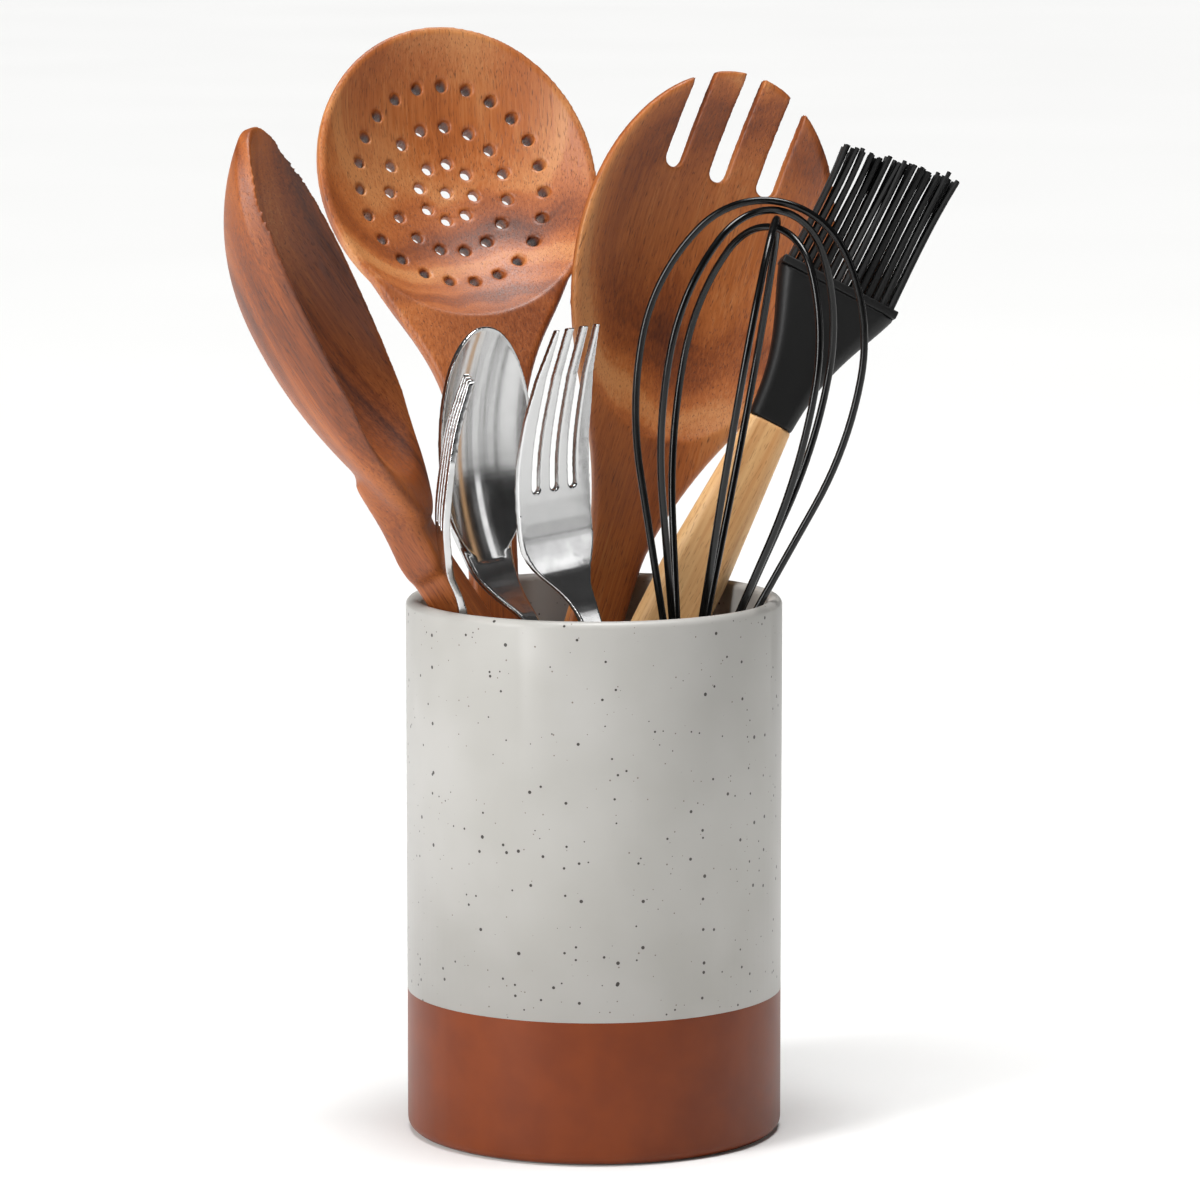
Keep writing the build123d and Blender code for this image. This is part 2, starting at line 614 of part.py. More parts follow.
def places():
    """Where each utensil stands in the crock."""
    wood = grip_thickness, grip_softening
    steel = stem_thickness, 0
    return {
        "skimmer": stand(
            skimmer_rim_angle, skimmer_foot_angle, skimmer_face_angle, grip_width, *wood,
            grip_end_radius, skimmer_foot_share, False),
        "salad_fork": stand(
            salad_rim_angle, salad_foot_angle, salad_face_angle, salad_grip_width, *wood,
            salad_grip_end_radius, salad_lift_share, True),
        "wood_spoon": stand(
            spoon_rim_angle, spoon_foot_angle, spoon_face_angle, spoon_grip_width, spoon_grip_thickness,
            spoon_grip_softening, spoon_grip_end_radius, spoon_lift_share, True),
        "steel_spoon": lean(
            steel_rim_angle, steel_rim_share, steel_foot_angle, steel_foot_share, steel_face_angle,
            steel_end_radius + stem_thickness / 2),
        "front_fork": stand(
            front_rim_angle, front_foot_angle, front_face_angle, fork_stem, *steel,
            fork_end_radius, front_foot_share, False),
        "side_fork": stand(
            side_rim_angle, side_foot_angle, side_face_angle, fork_stem, *steel,
            fork_end_radius, side_foot_share, False),
        "brush": stand(
            brush_rim_angle, brush_foot_angle, brush_face_angle, brush_grip_width, brush_grip_thickness,
            brush_grip_edge, brush_grip_end_radius, brush_lift_share, True),
        "whisk": lean(
            whisk_rim_angle, whisk_rim_share, whisk_foot_angle, whisk_foot_share, 0, whisk_end_diameter / 2),
    }


def build():
    stands = places()
    loops = [whisk_loop(index) for index in range(loop_count)]
    tang = brush_tang()
    nodes = {"crock_body": crock_body(), "glaze_dip": glaze_dip()}
    nodes["skimmer"] = stands["skimmer"] * skimmer()
    nodes["salad_fork"] = stands["salad_fork"] * salad_fork()
    nodes["wood_spoon"] = stands["wood_spoon"] * wood_spoon()
    nodes["steel_spoon"] = stands["steel_spoon"] * steel_spoon()
    nodes["front_fork"] = stands["front_fork"] * fork(
        front_fork_knee, fork_head_length, front_fork_dip, front_fork_slot, front_fork_side_share)
    nodes["side_fork"] = stands["side_fork"] * fork(
        side_fork_knee, side_fork_length, side_fork_dip, side_fork_slot, side_fork_side_share)
    nodes["whisk_handle"] = stands["whisk"] * whisk_handle()
    nodes["whisk_collar"] = stands["whisk"] * whisk_collar()
    nodes["whisk_plug"] = stands["whisk"] * whisk_plug(loops)
    for index, loop in enumerate(loops):
        nodes[f"whisk_loop_{index + 1}"] = stands["whisk"] * loop
    nodes["brush_tang"] = stands["brush"] * tang
    nodes["brush_handle"] = stands["brush"] * brush_handle(tang)
    nodes["brush_head"] = stands["brush"] * brush_head(tang)
    nodes["brush_bristles"] = stands["brush"] * brush_bristles()
    return stands, nodes


stands, nodes = build()
for name, plane in stands.items():
    print(name, "axis", plane.z_dir, "foot", plane.origin)
os.makedirs("parts", exist_ok=True)
for name, shape in nodes.items():
    export_step(shape, f"parts/{name}.step")
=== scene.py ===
import bpy
import json
import math
import random
from mathutils import Matrix, Vector


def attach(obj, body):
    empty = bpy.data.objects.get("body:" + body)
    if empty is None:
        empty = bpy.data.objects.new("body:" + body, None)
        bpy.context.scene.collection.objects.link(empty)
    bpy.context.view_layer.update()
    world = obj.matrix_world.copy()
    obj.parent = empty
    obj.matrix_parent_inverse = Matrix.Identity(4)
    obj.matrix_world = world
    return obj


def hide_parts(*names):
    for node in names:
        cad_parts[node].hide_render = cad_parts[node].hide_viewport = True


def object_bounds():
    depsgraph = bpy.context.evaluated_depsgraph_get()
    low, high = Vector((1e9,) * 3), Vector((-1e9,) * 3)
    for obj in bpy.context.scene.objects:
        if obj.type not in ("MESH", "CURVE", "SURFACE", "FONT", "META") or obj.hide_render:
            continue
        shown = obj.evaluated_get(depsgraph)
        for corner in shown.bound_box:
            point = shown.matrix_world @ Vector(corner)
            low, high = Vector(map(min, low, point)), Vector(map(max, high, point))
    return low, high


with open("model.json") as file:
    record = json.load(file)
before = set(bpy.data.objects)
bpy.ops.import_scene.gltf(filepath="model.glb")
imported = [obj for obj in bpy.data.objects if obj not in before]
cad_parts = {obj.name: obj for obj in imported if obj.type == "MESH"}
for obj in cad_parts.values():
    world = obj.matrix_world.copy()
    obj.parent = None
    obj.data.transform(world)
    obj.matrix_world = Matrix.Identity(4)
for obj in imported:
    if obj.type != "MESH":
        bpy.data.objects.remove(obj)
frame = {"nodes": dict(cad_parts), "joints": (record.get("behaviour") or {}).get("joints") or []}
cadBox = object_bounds()
print("stage: frame loaded")

mm = 0.001  # one millimetre in metres
toMm = (1 / mm, 1 / mm, 1 / mm)  # turns a place in metres into one in millimetres
noiseLow, noiseHigh = 0.3, 0.7  # nearly all values of a noise lie between these


def linear(hexColour):
    # an sRGB hex value as the linear colour that a socket takes, by the standard's own curve
    channels = [int(hexColour[place:place + 2], 16) / 255 for place in (1, 3, 5)]
    curve = [value / 12.92 if value <= 0.04045 else ((value + 0.055) / 1.055) ** 2.4 for value in channels]
    return (*curve, 1.0)


def addNode(material, kind, inputs=None, stops=None, **settings):
    # one node with its settings, its colour stops in rising order and its values or links by socket
    node = material.node_tree.nodes.new(kind)
    for name, value in settings.items():
        setattr(node, name, value)
    for place, (position, colour) in enumerate(stops or []):
        elements = node.color_ramp.elements
        element = elements[place] if place < 2 else elements.new(position)  # a new ramp has two stops
        element.position = position
        element.color = linear(colour)
    for socket, value in (inputs or {}).items():
        if isinstance(value, bpy.types.NodeSocket):
            material.node_tree.links.new(value, node.inputs[socket])
        else:
            node.inputs[socket].default_value = value
    return node


def startMaterial(name, roughness, **values):
    material = bpy.data.materials.new(name)
    material.use_nodes = True
    shader = material.node_tree.nodes["Principled BSDF"]
    shader.inputs["Roughness"].default_value = roughness
    for socket, value in values.items():
        shader.inputs[socket].default_value = value
    return material, shader


def joinSocket(material, shader, socket, output):
    material.node_tree.links.new(output, shader.inputs[socket])


def placeInMm(material):
    # where a point lies on the object, in mm
    coordinates = addNode(material, "ShaderNodeTexCoord")
    return addNode(material, "ShaderNodeVectorMath", {
        0: coordinates.outputs["Object"], 1: toMm,
    }, operation="MULTIPLY").outputs["Vector"]


def liftAxis(body):
    # the way a utensil leans, which its lifting joint follows
    joint = next(joint for joint in frame["joints"] if joint["child"] == body)
    return Vector(joint["axis"]).normalized()


def grainPlace(material, axis, middle):
    # where a point lies in its board, in mm: Z runs up the grain, and the growth rings' middle is 0, 0
    turn = axis.to_track_quat("Z", "Y").to_matrix().transposed()
    coordinates = addNode(material, "ShaderNodeTexCoord")
    return addNode(material, "ShaderNodeMapping", {
        "Vector": coordinates.outputs["Object"],
        "Location": -Vector(middle),
        "Rotation": turn.to_euler(),
        "Scale": toMm,
    }).outputs["Vector"]


def stretched(material, vector, across, along):
    # a place in mm measured in grains instead: across and along the fibres
    return addNode(material, "ShaderNodeVectorMath", {
        0: vector, 1: (1 / across, 1 / across, 1 / along),
    }, operation="MULTIPLY").outputs["Vector"]


# Oiled acacia, carved from the solid: a soft sheen over dark and pale bands, with short open pores.
# Each utensil is cut from its own board, so the rings' middle and the tone differ. Sizes are in mm.
acaciaLook = {
    "bandWidth": 9.0,
    "bandBends": (42.0, 150.0),  # size of the growth bands' bends, across and along the grain
    "warp": 22.0,  # how far the bands bend
    "ringSlope": 0.02,  # how much the way along the grain counts in a ring's radius
    "fibres": (0.75, 40.0),
    "figure": (38.0, 90.0),  # broad lights and darks
    "bandShare": 0.8,
    "fibreShare": 0.5,
    "figureShare": 0.7,
    "toneShift": -0.51,  # brings the sum of the three into the range of the tones
    "tones": [(0.22, "#4f2410"), (0.42, "#844218"), (0.62, "#a85e2a"), (0.84, "#be7f4a")],
    "pores": (0.34, 4.5),  # about 0.2 across in the wood, and drawn coarser so that they show
    "poreRange": (0.58, 0.72),  # noise values at which a pore begins and is full
    "poreShare": 0.7,
    "poreColour": "#3a1a0b",
    "roughness": 0.44,
    "sheen": (-0.06, 0.1),  # what the fibres take from the roughness and add to it
    "bumpStrength": 0.5,
    "bumpHeight": 0.12,
    "boards": {
        "skimmer": {"ringMiddle": (34.0, 95.0, 40.0), "tone": 0.02},
        "salad_fork": {"ringMiddle": (-60.0, 80.0, 260.0), "tone": 0.04},
        "wood_spoon": {"ringMiddle": (25.0, 60.0, 520.0), "tone": -0.05},
    },
}


def makeAcacia(board):
    look = acaciaLook
    cut = look["boards"][board]
    material, shader = startMaterial(f"oiledAcacia_{board}", look["roughness"])
    place = grainPlace(material, liftAxis(board), cut["ringMiddle"])
    # growth bands wander with the way the tree grew, and their widths vary from year to year
    wander = addNode(material, "ShaderNodeTexNoise", {
        "Vector": stretched(material, place, *look["bandBends"]), "Scale": 1.0, "Detail": 2.0,
    })
    bent = addNode(material, "ShaderNodeVectorMath", {
        0: wander.outputs["Color"], 1: (look["warp"], look["warp"], 0.0), 2: place,
    }, operation="MULTIPLY_ADD")
    flat = addNode(material, "ShaderNodeVectorMath", {
        0: bent.outputs["Vector"], 1: (1.0, 1.0, look["ringSlope"]),
    }, operation="MULTIPLY")
    radius = addNode(material, "ShaderNodeVectorMath", {0: flat.outputs["Vector"]}, operation="LENGTH")
    year = addNode(material, "ShaderNodeMath", {
        0: radius.outputs["Value"], 1: look["bandWidth"],
    }, operation="DIVIDE")
    bands = addNode(material, "ShaderNodeTexNoise", {
        "W": year.outputs["Value"], "Scale": 1.0, "Detail": 3.0, "Roughness": 0.5,
    }, noise_dimensions="1D")
    fibres = addNode(material, "ShaderNodeTexNoise", {
        "Vector": stretched(material, place, *look["fibres"]), "Scale": 1.0, "Detail": 5.0, "Roughness": 0.65,
    })
    figure = addNode(material, "ShaderNodeTexNoise", {
        "Vector": stretched(material, place, *look["figure"]), "Scale": 1.0, "Detail": 1.0,
    })
    # the three add up to a tone, from dark late wood to pale sapwood
    banded = addNode(material, "ShaderNodeMath", {
        0: bands.outputs["Fac"], 1: look["bandShare"], 2: cut["tone"] + look["toneShift"],
    }, operation="MULTIPLY_ADD")
    grained = addNode(material, "ShaderNodeMath", {
        0: fibres.outputs["Fac"], 1: look["fibreShare"], 2: banded.outputs["Value"],
    }, operation="MULTIPLY_ADD")
    figured = addNode(material, "ShaderNodeMath", {
        0: figure.outputs["Fac"], 1: look["figureShare"], 2: grained.outputs["Value"],
    }, operation="MULTIPLY_ADD")
    colour = addNode(material, "ShaderNodeValToRGB", {"Fac": figured.outputs["Value"]}, stops=look["tones"])
    # open pores: short dark dashes along the fibres
    pores = addNode(material, "ShaderNodeTexNoise", {
        "Vector": stretched(material, place, *look["pores"]), "Scale": 1.0, "Detail": 1.5,
    })
    poreDepth = addNode(material, "ShaderNodeMapRange", {
        "Value": pores.outputs["Fac"], "From Min": look["poreRange"][0], "From Max": look["poreRange"][1],
        "To Min": 0.0, "To Max": look["poreShare"],
    })
    pored = addNode(material, "ShaderNodeMix", {
        0: poreDepth.outputs["Result"], 6: colour.outputs["Color"], 7: linear(look["poreColour"]),
    }, data_type="RGBA")
    joinSocket(material, shader, "Base Color", pored.outputs[2])
    sheen = addNode(material, "ShaderNodeMapRange", {
        "Value": fibres.outputs["Fac"], "From Min": noiseLow, "From Max": noiseHigh,
        "To Min": look["roughness"] + look["sheen"][0], "To Max": look["roughness"] + look["sheen"][1],
    })
    joinSocket(material, shader, "Roughness", sheen.outputs["Result"])
    height = addNode(material, "ShaderNodeMath", {
        0: fibres.outputs["Fac"], 1: poreDepth.outputs["Result"],
    }, operation="SUBTRACT")
    bump = addNode(material, "ShaderNodeBump", {
        "Height": height.outputs["Value"], "Strength": look["bumpStrength"],
        "Distance": look["bumpHeight"] * mm,
    })
    joinSocket(material, shader, "Normal", bump.outputs["Normal"])
    return material


# Turned beech, lightly oiled: pale and even, with faint fibres and the short darker flecks of its rays.
# Sizes are in mm.
beechLook = {
    "ringMiddle": (40.0, 70.0, 0.0),
    "fibres": (1.6, 60.0),
    "figure": (12.0, 120.0),
    "tones": [(0.36, "#c8915a"), (0.62, "#e3b982")],
    "flecks": (0.5, 3.5),
    "fleckRange": (0.6, 0.72),  # noise values at which a fleck begins and is full
    "fleckShare": 0.6,
    "fleckColour": "#a06c3c",
    "roughness": 0.5,
    "bumpStrength": 0.4,
    "bumpHeight": 0.06,
}


def makeBeech(body):
    look = beechLook
    material, shader = startMaterial(f"turnedBeech_{body}", look["roughness"])
    place = grainPlace(material, liftAxis(body), look["ringMiddle"])
    fibres = addNode(material, "ShaderNodeTexNoise", {
        "Vector": stretched(material, place, *look["fibres"]), "Scale": 1.0, "Detail": 4.0,
    })
    figure = addNode(material, "ShaderNodeTexNoise", {
        "Vector": stretched(material, place, *look["figure"]), "Scale": 1.0, "Detail": 1.0,
    })
    # both count the same in the tone
    both = addNode(material, "ShaderNodeMath", {
        0: fibres.outputs["Fac"], 1: figure.outputs["Fac"],
    }, operation="ADD")
    tone = addNode(material, "ShaderNodeMath", {0: both.outputs["Value"], 1: 0.5}, operation="MULTIPLY")
    colour = addNode(material, "ShaderNodeValToRGB", {"Fac": tone.outputs["Value"]}, stops=look["tones"])
    flecks = addNode(material, "ShaderNodeTexNoise", {
        "Vector": stretched(material, place, *look["flecks"]), "Scale": 1.0, "Detail": 1.0,
    })
    fleckDepth = addNode(material, "ShaderNodeMapRange", {
        "Value": flecks.outputs["Fac"], "From Min": look["fleckRange"][0], "From Max": look["fleckRange"][1],
        "To Min": 0.0, "To Max": look["fleckShare"],
    })
    flecked = addNode(material, "ShaderNodeMix", {
        0: fleckDepth.outputs["Result"], 6: colour.outputs["Color"], 7: linear(look["fleckColour"]),
    }, data_type="RGBA")
    joinSocket(material, shader, "Base Color", flecked.outputs[2])
    bump = addNode(material, "ShaderNodeBump", {
        "Height": fibres.outputs["Fac"], "Strength": look["bumpStrength"],
        "Distance": look["bumpHeight"] * mm,
    })
    joinSocket(material, shader, "Normal", bump.outputs["Normal"])
    return material


# Satin feldspar glaze on stoneware: a soft highlight on pale grey, with iron specks that burnt through.
# There is about one coarse speck to 70 square mm and one fine speck to 60. Sizes are in mm, and the
# shift sets the fine specks apart from the coarse ones.
glazeLook = {
    "colours": [(0.35, "#a3a19c"), (0.65, "#aaa8a4")],
    "cloudSize": 35.0,
    "roughness": 0.42,
    "ior": 1.5,
    "coarse": {"cell": 4.1, "radius": 0.5, "shift": 0.0, "colour": "#2b2522"},
    "fine": {"cell": 3.1, "radius": 0.24, "shift": 31.7, "colour": "#6e655c"},
    "speckSizes": (0.25, 1.35),  # smallest and largest, as shares of the radius
    "speckEdge": 0.08,  # how soft the rim of a speck is, as a share of the radius
    "rippleSize": 9.0,
    "bumpStrength": 0.25,
    "bumpHeight": 0.1,
}


def specks(material, place, grain):
    # round grains of iron: each cell has one, its size by chance, and only those at the surface show
    look = glazeLook
    shifted = addNode(material, "ShaderNodeVectorMath", {
        0: place, 1: (grain["shift"], grain["shift"], grain["shift"]),
    }, operation="ADD")
    cells = addNode(material, "ShaderNodeTexVoronoi", {
        "Vector": shifted.outputs["Vector"], "Scale": 1.0 / grain["cell"], "Randomness": 1.0,
    })
    chance = addNode(material, "ShaderNodeSeparateColor", {"Color": cells.outputs["Color"]})
    smallest, largest = look["speckSizes"]
    size = addNode(material, "ShaderNodeMapRange", {
        "Value": chance.outputs["Red"], "From Min": 0.0, "From Max": 1.0,
        "To Min": smallest * grain["radius"] / grain["cell"],
        "To Max": largest * grain["radius"] / grain["cell"],
    })
    inside = addNode(material, "ShaderNodeMath", {
        0: size.outputs["Result"], 1: cells.outputs["Distance"],
    }, operation="SUBTRACT")
    return addNode(material, "ShaderNodeMapRange", {
        "Value": inside.outputs["Value"], "From Min": 0.0,
        "From Max": look["speckEdge"] * grain["radius"] / grain["cell"],
    }).outputs["Result"]


def makeSpeckledGlaze():
    look = glazeLook
    material, shader = startMaterial("speckledStonewareGlaze", look["roughness"], IOR=look["ior"])
    place = placeInMm(material)
    cloud = addNode(material, "ShaderNodeTexNoise", {
        "Vector": place, "Scale": 1 / look["cloudSize"], "Detail": 2.0,
    })
    ground = addNode(material, "ShaderNodeValToRGB", {"Fac": cloud.outputs["Fac"]}, stops=look["colours"])
    surface = ground.outputs["Color"]
    for grain in (look["fine"], look["coarse"]):
        speckled = addNode(material, "ShaderNodeMix", {
            0: specks(material, place, grain), 6: surface, 7: linear(grain["colour"]),
        }, data_type="RGBA")
        surface = speckled.outputs[2]
    joinSocket(material, shader, "Base Color", surface)
    ripple = addNode(material, "ShaderNodeTexNoise", {
        "Vector": place, "Scale": 1 / look["rippleSize"], "Detail": 2.0,
    })
    bump = addNode(material, "ShaderNodeBump", {
        "Height": ripple.outputs["Fac"], "Strength": look["bumpStrength"],
        "Distance": look["bumpHeight"] * mm,
    })
    joinSocket(material, shader, "Normal", bump.outputs["Normal"])
    return material


# Matte iron slip, dipped: an even red-brown with a broad, soft highlight. Sizes are in mm.
dipLook = {
    "colours": [(0.35, "#6a2b05"), (0.65, "#743107")],
    "cloudSize": 16.0,
    "roughness": 0.4,
    "ior": 1.34,
    "rippleSize": 1.4,
    "bumpStrength": 0.2,
    "bumpHeight": 0.03,
}


def makeDipGlaze():
    look = dipLook
    material, shader = startMaterial("ironSlipDip", look["roughness"], IOR=look["ior"])
    place = placeInMm(material)
    cloud = addNode(material, "ShaderNodeTexNoise", {
        "Vector": place, "Scale": 1 / look["cloudSize"], "Detail": 3.0,
    })
    ground = addNode(material, "ShaderNodeValToRGB", {"Fac": cloud.outputs["Fac"]}, stops=look["colours"])
    joinSocket(material, shader, "Base Color", ground.outputs["Color"])
    ripple = addNode(material, "ShaderNodeTexNoise", {
        "Vector": place, "Scale": 1 / look["rippleSize"], "Detail": 2.0,
    })
    bump = addNode(material, "ShaderNodeBump", {
        "Height": ripple.outputs["Fac"], "Strength": look["bumpStrength"],
        "Distance": look["bumpHeight"] * mm,
    })
    joinSocket(material, shader, "Normal", bump.outputs["Normal"])
    return material


# 18/10 stainless steel, pressed and polished: clear reflections under a faint polishing haze, size in mm
steelLook = {
    "colour": "#bfbfbf",
    "roughness": 0.17,
    "hazeSize": 6.0,
    "sheen": (-0.025, 0.035),
}


def makeSteel():
    look = steelLook
    material, shader = startMaterial("polishedStainlessSteel", look["roughness"], Metallic=1.0)
    haze = addNode(material, "ShaderNodeTexNoise", {
        "Vector": placeInMm(material), "Scale": 1 / look["hazeSize"], "Detail": 4.0,
    })
    polish = addNode(material, "ShaderNodeMapRange", {
        "Value": haze.outputs["Fac"], "From Min": noiseLow, "From Max": noiseHigh,
        "To Min": look["roughness"] + look["sheen"][0], "To Max": look["roughness"] + look["sheen"][1],
    })
    joinSocket(material, shader, "Roughness", polish.outputs["Result"])
    shader.inputs["Base Color"].default_value = linear(look["colour"])
    return material


# Nylon drawn over wire: black and glossy, its highlight broken by slow ripples. Sizes are in mm.
coatingLook = {
    "colour": "#060606",
    "roughness": 0.2,
    "ior": 1.4,
    "wave": 6.0,
    "relief": 0.004,
    "sheen": (-0.05, 0.06),
    "bumpStrength": 0.3,
}

# Moulded silicone: black, soft and matte. The mould's grain is finer, and drawn coarser so that it shows.
siliconeLook = {
    "colour": "#090909",
    "roughness": 0.5,
    "ior": 1.4,
    "wave": 0.5,
    "relief": 0.02,
    "sheen": (-0.05, 0.06),
    "bumpStrength": 0.3,
}


def makeBlack(name, look):
    material, shader = startMaterial(name, look["roughness"], IOR=look["ior"])
    skin = addNode(material, "ShaderNodeTexNoise", {
        "Vector": placeInMm(material), "Scale": 1 / look["wave"], "Detail": 3.0,
    })
    sheen = addNode(material, "ShaderNodeMapRange", {
        "Value": skin.outputs["Fac"], "From Min": noiseLow, "From Max": noiseHigh,
        "To Min": look["roughness"] + look["sheen"][0], "To Max": look["roughness"] + look["sheen"][1],
    })
    joinSocket(material, shader, "Roughness", sheen.outputs["Result"])
    bump = addNode(material, "ShaderNodeBump", {
        "Height": skin.outputs["Fac"], "Strength": look["bumpStrength"], "Distance": look["relief"] * mm,
    })
    joinSocket(material, shader, "Normal", bump.outputs["Normal"])
    shader.inputs["Base Color"].default_value = linear(look["colour"])
    return material


def selectOnly(piece):
    bpy.ops.object.select_all(action="DESELECT")
    piece.select_set(True)
    bpy.context.view_layer.objects.active = piece


def copySolid(node, name):
    # the node's own skin in a new object, its loose triangles merged
    piece = bpy.data.objects.new(name, frame["nodes"][node].data.copy())
    piece.data.name = name
    bpy.context.scene.collection.objects.link(piece)
    selectOnly(piece)
    bpy.ops.object.mode_set(mode="EDIT")
    bpy.ops.mesh.select_all(action="SELECT")
    bpy.ops.mesh.remove_doubles(threshold=0.001 * mm)
    bpy.ops.object.mode_set(mode="OBJECT")
    return piece


def applyAll(piece):
    selectOnly(piece)
    for modifier in list(piece.modifiers):
        bpy.ops.object.modifier_apply(modifier=modifier.name)


# Carved, moulded and pressed pieces get a new even skin, made of cubes of so many mm, and rounds of
# smoothing. The wooden spoon's neck, from one height to another in metres, gets rounds of its own.
workedPieces = {
    "skimmerCarving": {"node": "skimmer", "body": "skimmer", "skin": 0.64, "rounds": 8},
    "saladForkCarving": {"node": "salad_fork", "body": "salad_fork", "skin": 0.64, "rounds": 10},
    "woodSpoonCarving": {"node": "wood_spoon", "body": "wood_spoon", "skin": 0.6, "rounds": 14,
                         "neck": (0.196, 0.252), "neckRounds": 220},
    "brushHandleTurning": {"node": "brush_handle", "body": "brush", "skin": 0.7, "rounds": 8},
    "brushHeadMoulding": {"node": "brush_head", "body": "brush", "skin": 0.6, "rounds": 5},
    "steelSpoonPressing": {"node": "steel_spoon", "body": "steel_spoon", "skin": 0.38, "rounds": 9},
    "frontForkPressing": {"node": "front_fork", "body": "front_fork", "skin": 0.33, "rounds": 9},
    "sideForkPressing": {"node": "side_fork", "body": "side_fork", "skin": 0.33, "rounds": 9},
}
smoothingFactor = 0.5  # how far a round moves each point towards the middle of its neighbours
neckFade = 0.25  # share of the neck at each end over which its own smoothing fades out


def workPiece(name, work):
    # the new skin is smoothed so that every edge is eased
    piece = copySolid(work["node"], name)
    skin = piece.modifiers.new("skin", "REMESH")
    skin.mode = "VOXEL"
    skin.voxel_size = work["skin"] * mm
    ease = piece.modifiers.new("ease", "SMOOTH")
    ease.factor = smoothingFactor
    ease.iterations = work["rounds"]
    applyAll(piece)
    if "neck" in work:
        blendNeck(piece, *work["neck"], work["neckRounds"])
    bpy.ops.object.shade_smooth()
    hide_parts(work["node"])
    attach(piece, work["body"])
    return piece


def blendNeck(piece, low, high, rounds):
    # where the bowl runs into the handle, the back is spokeshaved to one sweep
    neck = piece.vertex_groups.new(name="neck")
    fade = (high - low) * neckFade
    for vertex in piece.data.vertices:
        share = min((vertex.co.z - low) / fade, (high - vertex.co.z) / fade, 1.0)
        if share > 0:
            neck.add([vertex.index], share, "REPLACE")
    sweep = piece.modifiers.new("sweep", "SMOOTH")
    sweep.factor = smoothingFactor
    sweep.iterations = rounds
    sweep.vertex_group = "neck"
    applyAll(piece)
    piece.vertex_groups.clear()


# Thrown, turned and drawn pieces keep the skin of their solids, and the sharp edges of some are
# broken by so many mm
finishedPieces = {
    "crockThrowing": {"node": "crock_body", "body": "crock", "edge": 0.0},
    "crockDip": {"node": "glaze_dip", "body": "crock", "edge": 0.0},
    "whiskHandleTurning": {"node": "whisk_handle", "body": "whisk", "edge": 0.4},
    "whiskCollarTube": {"node": "whisk_collar", "body": "whisk", "edge": 0.2},
    "whiskPlugFill": {"node": "whisk_plug", "body": "whisk", "edge": 0.0},
    "whiskWireOne": {"node": "whisk_loop_1", "body": "whisk", "edge": 0.0},
    "whiskWireTwo": {"node": "whisk_loop_2", "body": "whisk", "edge": 0.0},
    "whiskWireThree": {"node": "whisk_loop_3", "body": "whisk", "edge": 0.0},
    "whiskWireFour": {"node": "whisk_loop_4", "body": "whisk", "edge": 0.0},
}
edgeSegments = 2
sharpAngle = 40.0  # edges that turn by more degrees than this are broken
roundAngle = 32.0  # faces that meet at fewer degrees than this are shaded as one


def finishPiece(name, work):
    piece = copySolid(work["node"], name)
    if work["edge"]:
        broken = piece.modifiers.new("broken", "BEVEL")
        broken.width = work["edge"] * mm
        broken.segments = edgeSegments
        broken.limit_method = "ANGLE"
        broken.angle_limit = math.radians(sharpAngle)
        applyAll(piece)
    selectOnly(piece)
    bpy.ops.object.shade_smooth_by_angle(angle=math.radians(roundAngle))
    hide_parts(work["node"])
    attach(piece, work["body"])
    return piece


def giveMaterial(piece, material, slot):
    piece.data.materials.clear()
    piece.data.materials.append(material)


# Silicone strands of the basting brush: rows that draw in a little and curl out at their tips.
# They grow from a thin slice on the head. Sizes are in mm.
strandLook = {
    "faceAngle": 6.0,  # degrees that the brush's broad face is turned about its handle
    "columns": 14,
    "rows": 5,
    "margin": 2.4,  # both sides of the head together that stay free, in strand widths
    "width": 2.3,
    "tipWidth": 1.7,
    "length": 49.5,
    "rake": 8.0,  # how much longer the right column is than the left one
    "lengthScatter": 0.05,
    "drawIn": 0.95,
    "curl": 1.1,
    "curlFan": (2.0, 0.8),  # how much the outer strands curl outwards, to the side and to the back
    "curlScatter": (0.9, 0.7),
    "straightShare": 0.4,  # the foot's pull on the strand's curve, as a share of the length
    "tipHeight": 0.68,  # the tip's pull starts at this share of the length
    "tipCurl": 0.15,  # and at this share of the curl
    "smoothAngle": 50.0,
    "curveSteps": 7,
    "roundness": 1,  # how finely a strand is rounded: 1 gives it six sides
    "slice": 3.0,
    "sliceEdge": 0.6,
    "sliceEdgeSegments": 3,
    "rootHeight": 0.6,  # where the strands start, as a share of the slice
    "seed": 7,
}


def brushFrame():
    # the brush's own directions, and the middle of the head's flat top, read from its solid
    axis = liftAxis("brush")
    faceAngle = math.radians(strandLook["faceAngle"])
    flat = Vector((math.cos(faceAngle), math.sin(faceAngle), 0.0))
    across = (flat - axis * flat.dot(axis)).normalized()
    back = axis.cross(across)
    points = [vertex.co for vertex in frame["nodes"]["brush_head"].data.vertices]
    middle = Vector((0.0, 0.0, 0.0))
    spans = []
    for direction in (across, back):
        reach = [point.dot(direction) for point in points]
        middle += direction * (min(reach) + max(reach)) / 2
        spans.append(max(reach) - min(reach))
    middle += axis * max(point.dot(axis) for point in points)
    return middle, (across, back, axis), spans


def makeSlice(width, depth):
    # the slice of head that the strands grow from
    look = strandLook
    bpy.ops.mesh.primitive_cube_add(size=1.0)
    headSlice = bpy.context.active_object
    headSlice.scale = (width, depth, look["slice"] * mm)
    headSlice.location = (0.0, 0.0, look["slice"] * mm / 2)
    bpy.ops.object.transform_apply(location=True, rotation=False, scale=True)
    bpy.ops.object.mode_set(mode="EDIT")
    bpy.ops.mesh.select_all(action="SELECT")
    bpy.ops.mesh.bevel(offset=look["sliceEdge"] * mm, segments=look["sliceEdgeSegments"], affect="EDGES")
    bpy.ops.object.mode_set(mode="OBJECT")
    return headSlice


